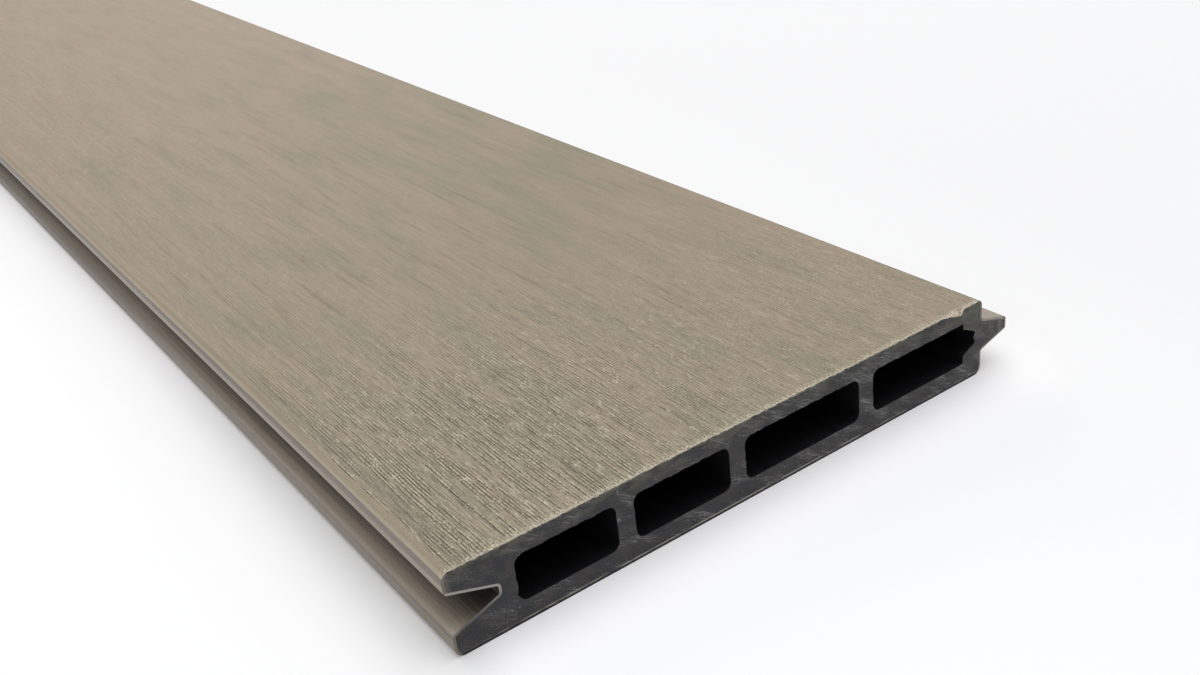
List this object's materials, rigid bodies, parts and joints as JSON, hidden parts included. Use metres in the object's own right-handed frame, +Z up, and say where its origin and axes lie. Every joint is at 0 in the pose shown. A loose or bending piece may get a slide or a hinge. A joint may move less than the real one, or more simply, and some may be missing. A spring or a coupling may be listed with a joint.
{
  "type": "hollow capped composite board",
  "caption": "Hollow tongue-and-groove composite board with a dark cellular core, a thin taupe cap all round and a wood-grain show face, for fences and wall cladding.",
  "frame": {"origin": "middle of the board's underside, at the bottom centre of its box", "axes": "+X along the board towards the torn cut end, +Y across it from the groove to the tongue, +Z up out of the show face"},
  "size_m": [1.8, 0.157, 0.02],
  "materials": {
    "cap": "matt co-extruded polymer cap, embossed with wood grain on the show face",
    "core": "sawn wood-plastic composite, charcoal"
  },
  "bodies": {
    "root": {"cap": "cap", "core": "core"}
  },
  "joints": []
}
